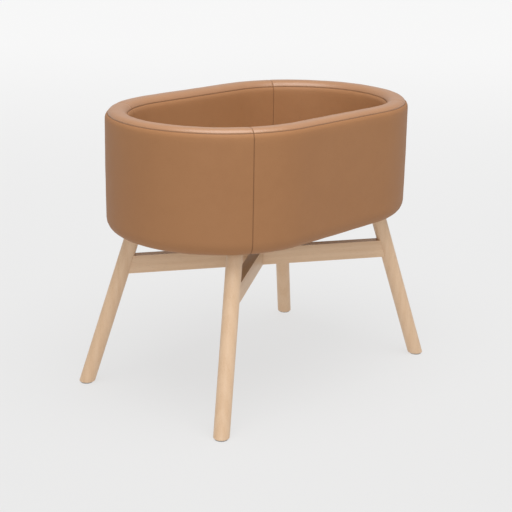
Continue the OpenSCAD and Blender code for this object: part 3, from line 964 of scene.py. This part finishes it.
def stitches(name, runs, material, body, closed=()):
    """Stitches along runs of points; those named in closed join up with themselves."""
    s = bpy.context.scene.bassinet_stitches
    points, edges = [], []
    for k, run in enumerate(runs):
        start, count = len(points), len(run)
        points += [tuple(p) for p in run]
        edges += [(start + i, start + i + 1) for i in range(count - 1)]
        if k in closed:
            edges.append((start + count - 1, start))
    mesh = bpy.data.meshes.new(name + "_line")
    mesh.from_pydata(points, edges, [])
    piece = linked(name, mesh)
    tree = bpy.data.node_groups.get("stitch_run") or stitch_tree()
    modifier = piece.modifiers.new("stitches", "NODES")
    modifier.node_group = tree
    values = {
        "Pitch": s.pitch, "Length": s.length, "Thread radius": s.thread,
        "Seed": s.seed, "Thread": material,
    }
    for item in tree.interface.items_tree:
        if item.item_type == "SOCKET" and item.name in values:
            modifier[item.identifier] = values[item.name]
    bake(piece)
    if not len(piece.data.polygons):
        raise RuntimeError(f"{name} came out empty")
    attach(piece, body)
    return piece


class BASSINET_OT_stitching(BassinetOperator):
    """Lays the stitches along the seams of the leather"""

    bl_idname = "bassinet.stitching"
    bl_label = "Stitching"

    def build(self, scene):
        runs = []
        shapes = sections()
        lift = scene.bassinet_stitches.thread * 0.5
        for kind, end in (("wall", 1), ("lining", 0)):
            section = shapes[kind]
            for side in SIDES:
                span = panel_span(side)
                along = np.arange(span[0] + 0.002, span[1] - 0.002, 0.002)
                t = np.full_like(along, section.length if end else 0.0)
                runs.append(surface(kind, section, along, t, span, lift)[0])
        for kind, section in shapes.items():
            for side in SIDES:
                span = panel_span(side)
                t = np.arange(0.004, section.length - 0.004, 0.002)
                along = np.full_like(t, span[1])
                runs.append(surface(kind, section, along, t, span, lift)[0])
        piece = stitches("leather_stitching", runs, looks()["thread"], "bassinet")


class BASSINET_OT_legs(BassinetOperator):
    """Turns the four legs, cut level at the floor with rounded edges"""

    bl_idname = "bassinet.legs"
    bl_label = "Legs"

    def build(self, scene):
        wood = scene.bassinet_wood
        names = {
            "front_right": (1, -1), "front_left": (-1, -1),
            "back_right": (1, 1), "back_left": (-1, 1),
        }
        for number, (name, sign) in enumerate(names.items()):
            self.leg(wood, name, sign, number)

    def leg(self, wood, name, sign, number):
        foot = np.array([sign[0] * FOOT[0], sign[1] * FOOT[1]])
        top = np.array([sign[0] * LEG_TOP[0], sign[1] * LEG_TOP[1]])
        inwards = (top - foot) / np.linalg.norm(top - foot)
        across = np.array([-inwards[1], inwards[0]])
        lean = math.atan2(np.linalg.norm(top - foot), UNDER_Z)
        r = wood.foot_round
        bend = np.radians(np.linspace(0, 90, 7))
        rings = [(GLIDE_T + r * (1 - math.sin(a)), r * (1 - math.cos(a))) for a in bend[::-1]]
        rings += [(z, 0.0) for z in np.linspace(GLIDE_T + r * 2, UNDER_Z - 0.001, 24)]
        rings += [(UNDER_Z, 0.0008)]
        around = np.linspace(0, 2 * math.pi, 73)[:-1]
        points, grain = [], []
        axis = np.array([*((top - foot) / UNDER_Z), 1.0])
        axis /= np.linalg.norm(axis)
        for z, inset in rings:
            centre = foot + (top - foot) * z / UNDER_Z
            long_r, short_r = (wood.leg_r / math.cos(lean)) - inset, wood.leg_r - inset
            for a in around:
                flat = centre + inwards * long_r * math.cos(a) + across * short_r * math.sin(a)
                spot = np.array([*flat, z])
                points.append(spot)
                rel = spot - np.array([*foot, 0])
                grain.append(
                    (
                        rel[:2] @ inwards + GRAIN_SHIFT[0] * number,
                        rel[:2] @ across + GRAIN_SHIFT[1] * number,
                        rel @ axis,
                    )
                )
        faces = tube_faces(len(around), len(rings))
        piece = made(
            f"beech_leg_{name}", points, faces, looks()["beech"], 50, vectors={"grain": grain}
        )
        fix_normals(piece)
        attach(piece, "bassinet")
        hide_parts(f"leg_{name}")


def eased_copy(node, name, width, material):
    """A merged copy of a CAD node with its sharp edges rounded."""
    source = frame["nodes"][node]
    work = bmesh.new()
    work.from_mesh(source.data)
    bmesh.ops.remove_doubles(work, verts=work.verts, dist=2e-6)
    bmesh.ops.dissolve_limit(
        work, angle_limit=math.radians(1.5), verts=work.verts, edges=work.edges
    )
    mesh = bpy.data.meshes.new(name)
    work.to_mesh(mesh)
    work.free()
    piece = linked(name, mesh)
    bevel = piece.modifiers.new("eased", "BEVEL")
    bevel.width, bevel.segments, bevel.limit_method = width, 3, "ANGLE"
    bevel.angle_limit = math.radians(40)
    bake(piece)
    piece.data.materials.clear()
    piece.data.materials.append(material)
    shade_smooth(piece.data, 35)
    return piece


class BASSINET_OT_rails(BassinetOperator):
    """Makes the two crossed rails with eased edges"""

    bl_idname = "bassinet.rails"
    bl_label = "Rails"

    def build(self, scene):
        wood = scene.bassinet_wood
        slope = math.atan2(FOOT[1], FOOT[0])
        for node, side, shift in (("rail_over", -1, 1.7), ("rail_under", 1, 2.9)):
            piece = eased_copy(node, f"beech_{node}", wood.rail_round, looks()["beech"])
            along = np.array([math.cos(slope), side * math.sin(slope), 0])
            across = np.array([-along[1], along[0], 0])
            spots = vertices(piece)
            grain = np.stack(
                [spots[:, 2] + 0.41 * shift, spots @ across + 0.17 * shift, spots @ along], -1
            )
            data = piece.data.attributes.new("grain", "FLOAT_VECTOR", "POINT").data
            data.foreach_set("vector", grain.ravel())
            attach(piece, "bassinet")
            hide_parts(node)


class BASSINET_OT_mattress(BassinetOperator):
    """Makes the mattress: a pad swollen by a cloth simulation, with a sewn edge"""

    bl_idname = "bassinet.mattress"
    bl_label = "Mattress"

    def build(self, scene):
        s = scene.bassinet_mattress
        low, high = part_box("mattress_base")[0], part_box("mattress_cover")[1]
        inset = END_R - high[1] + s.start
        piece = oval_pad(
            "mattress_pad", inset, low[2] + 0.0004, high[2] - s.start, 0.018,
            looks()["ticking"], 180,
        )
        self.swell(scene, piece, s, low[2])
        sewn_z = low[2] + 0.012
        runs = self.edge_run(piece, sewn_z)
        near = np.array([
            fold(abs(v.co.z - sewn_z), 1, 0.0016) * (abs(v.normal.z) < 0.7)
            for v in piece.data.vertices
        ])
        piece.data.attributes.new("seam", "FLOAT", "POINT").data.foreach_set("value", near)
        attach(piece, "mattress")
        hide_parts("mattress_core", "mattress_cover", "mattress_base")
        sewn = stitches(
            "mattress_stitching", [runs], looks()["cotton_thread"], "mattress", closed=(0,)
        )

    def swell(self, scene, piece, s, floor):
        """Remesh, blow up with the cloth solver, cap the movement, and add one subdivision."""
        remesh = piece.modifiers.new("even", "REMESH")
        remesh.mode, remesh.voxel_size = "VOXEL", s.voxel
        bake(piece)
        start = vertices(piece)
        cloth = piece.modifiers.new("cloth", "CLOTH")
        values = {
            "quality": 5, "mass": 0.25, "tension_stiffness": 12,
            "compression_stiffness": 12, "bending_stiffness": 0.4,
            "use_pressure": True, "uniform_pressure_force": s.pressure,
        }
        for name, value in values.items():
            setattr(cloth.settings, name, value)
        cloth.settings.effector_weights.gravity = 0
        cloth.collision_settings.use_collision = False
        cloth.collision_settings.use_self_collision = False
        cloth.point_cache.frame_start, cloth.point_cache.frame_end = 1, s.frames
        for number in range(1, s.frames + 1):
            scene.frame_set(number)
            piece.evaluated_get(bpy.context.evaluated_depsgraph_get())
        bake(piece)
        scene.frame_set(1)
        moved = vertices(piece) - start
        far = np.linalg.norm(moved, axis=1, keepdims=True)
        moved *= np.minimum(1, s.cap / np.maximum(far, 1e-9))
        spots = start + moved
        spots[:, 2] = np.maximum(spots[:, 2], floor + 0.0003)
        piece.data.vertices.foreach_set("co", spots.ravel())
        finer = piece.modifiers.new("finer", "SUBSURF")
        finer.levels = finer.render_levels = 1
        bake(piece)
        shade_smooth(piece.data)

    def edge_run(self, piece, height):
        """Points on the side of the pad at one height, just under its surface."""
        tree = BVHTree.FromObject(piece, bpy.context.evaluated_depsgraph_get())
        along = np.arange(0, ROUND, 0.004)
        start, out = plan(along, np.zeros_like(along))
        found = []
        for p, o in zip(start, out):
            hit = tree.ray_cast(Vector((*p, height)), Vector((-o[0], -o[1], 0)))[0]
            if hit:
                found.append(tuple(hit))
        return found


class BASSINET_OT_hardware(BassinetOperator):
    """Gives every node that keeps its CAD shape its own finish"""

    bl_idname = "bassinet.hardware"
    bl_label = "Hardware"

    def build(self, scene):
        finishes = looks()
        for part in RECORD["subparts"]:
            node = frame["nodes"][part["node"]]
            for place in node.material_slots:
                place.material = finishes[part["material_slot"]]


class BASSINET_OT_stage(BassinetOperator):
    """Sets the floor, the lights and the camera"""

    bl_idname = "bassinet.stage"
    bl_label = "Stage"

    def build(self, scene):
        s = scene.bassinet_stage
        reach, steps = 30.0, 48
        turns = np.linspace(0, 2 * math.pi, steps + 1)[:-1]
        rows = [(reach * math.cos(a), reach * math.sin(a), 0) for a in turns]
        look = floor_look("bassinet_floor", tuple(s.floor), s.glow)
        floor = made("floor", rows, [tuple(range(steps))], look)
        self.lamp("overhead", (-0.6, -0.8, 3.4), (0, 0, 0.4), 3.2, s.key)
        fill_share = 0.22
        self.lamp("fill", (-3.2, -2.6, 1.0), (0, 0, 0.35), 1.9, s.key * fill_share)
        world = bpy.data.worlds.new("soft_room")
        world.use_nodes = True
        scene.world = world
        nodes, links = world.node_tree.nodes, world.node_tree.links
        light, seen = nodes["Background"], nodes.new("ShaderNodeBackground")
        light.inputs[0].default_value = (1.0, 0.995, 0.99, 1)
        light.inputs[1].default_value = s.sky
        seen.inputs[0].default_value = (0.92, 0.92, 0.915, 1)
        choice = nodes.new("ShaderNodeMixShader")
        links.new(nodes.new("ShaderNodeLightPath").outputs["Is Camera Ray"], choice.inputs[0])
        links.new(light.outputs[0], choice.inputs[1])
        links.new(seen.outputs[0], choice.inputs[2])
        links.new(choice.outputs[0], nodes["World Output"].inputs["Surface"])
        scene.view_settings.view_transform = "Standard"
        scene.view_settings.look = "None"
        data = bpy.data.cameras.new("camera")
        data.sensor_width, data.lens = 36, s.lens
        camera = linked("camera", data)
        c, n = math.cos(s.pitch), math.sin(s.pitch)
        ahead = Vector((math.sin(s.heading) * c, math.cos(s.heading) * c, -n))
        right = Vector((math.cos(s.heading), -math.sin(s.heading), 0))
        up = right.cross(ahead)
        a, b = math.cos(s.roll), math.sin(s.roll)
        right, up = right * a + up * b, up * a - right * b
        camera.matrix_world = Matrix(
            [[right[k], up[k], -ahead[k], s.eye[k]] for k in range(3)] + [[0, 0, 0, 1]]
        )
        data.clip_start, data.clip_end = 0.05, 100
        scene.camera = camera

    def lamp(self, name, place, aim, width, power):
        data = bpy.data.lights.new(name, "AREA")
        data.shape, data.size, data.energy = "DISK", width, power
        lamp = linked(name, data)
        lamp.location = place
        lamp.rotation_euler = (Vector(aim) - Vector(place)).to_track_quat("-Z", "Y").to_euler()


class BASSINET_PT_panel(bpy.types.Panel):
    """Settings and steps of the bassinet"""

    bl_label = "Bassinet"
    bl_space_type = "VIEW_3D"
    bl_region_type = "UI"
    bl_category = "Bassinet"

    def draw(self, context):
        for group in GROUPS:
            settings = getattr(context.scene, group)
            box = self.layout.box()
            box.label(text=group.split("_")[1].title())
            for name in settings.__annotations__:
                box.prop(settings, name)
        for step in STEPS:
            self.layout.operator(step.bl_idname)


STEPS = (
    BASSINET_OT_stage,
    BASSINET_OT_hardware,
    BASSINET_OT_legs,
    BASSINET_OT_rails,
    BASSINET_OT_padding,
    BASSINET_OT_leather,
    BASSINET_OT_floor_panel,
    BASSINET_OT_stitching,
    BASSINET_OT_mattress,
)


def register():
    for group, kind in GROUPS.items():
        bpy.utils.register_class(kind)
        setattr(bpy.types.Scene, group, PointerProperty(type=kind))
    for kind in (*STEPS, BASSINET_PT_panel):
        bpy.utils.register_class(kind)


def unregister():
    for kind in (BASSINET_PT_panel, *reversed(STEPS)):
        bpy.utils.unregister_class(kind)
    for group, kind in GROUPS.items():
        delattr(bpy.types.Scene, group)
        bpy.utils.unregister_class(kind)


def main():
    register()
    for step in STEPS:
        family, name = step.bl_idname.split(".")
        getattr(getattr(bpy.ops, family), name)()


if __name__ == "__main__":
    main()
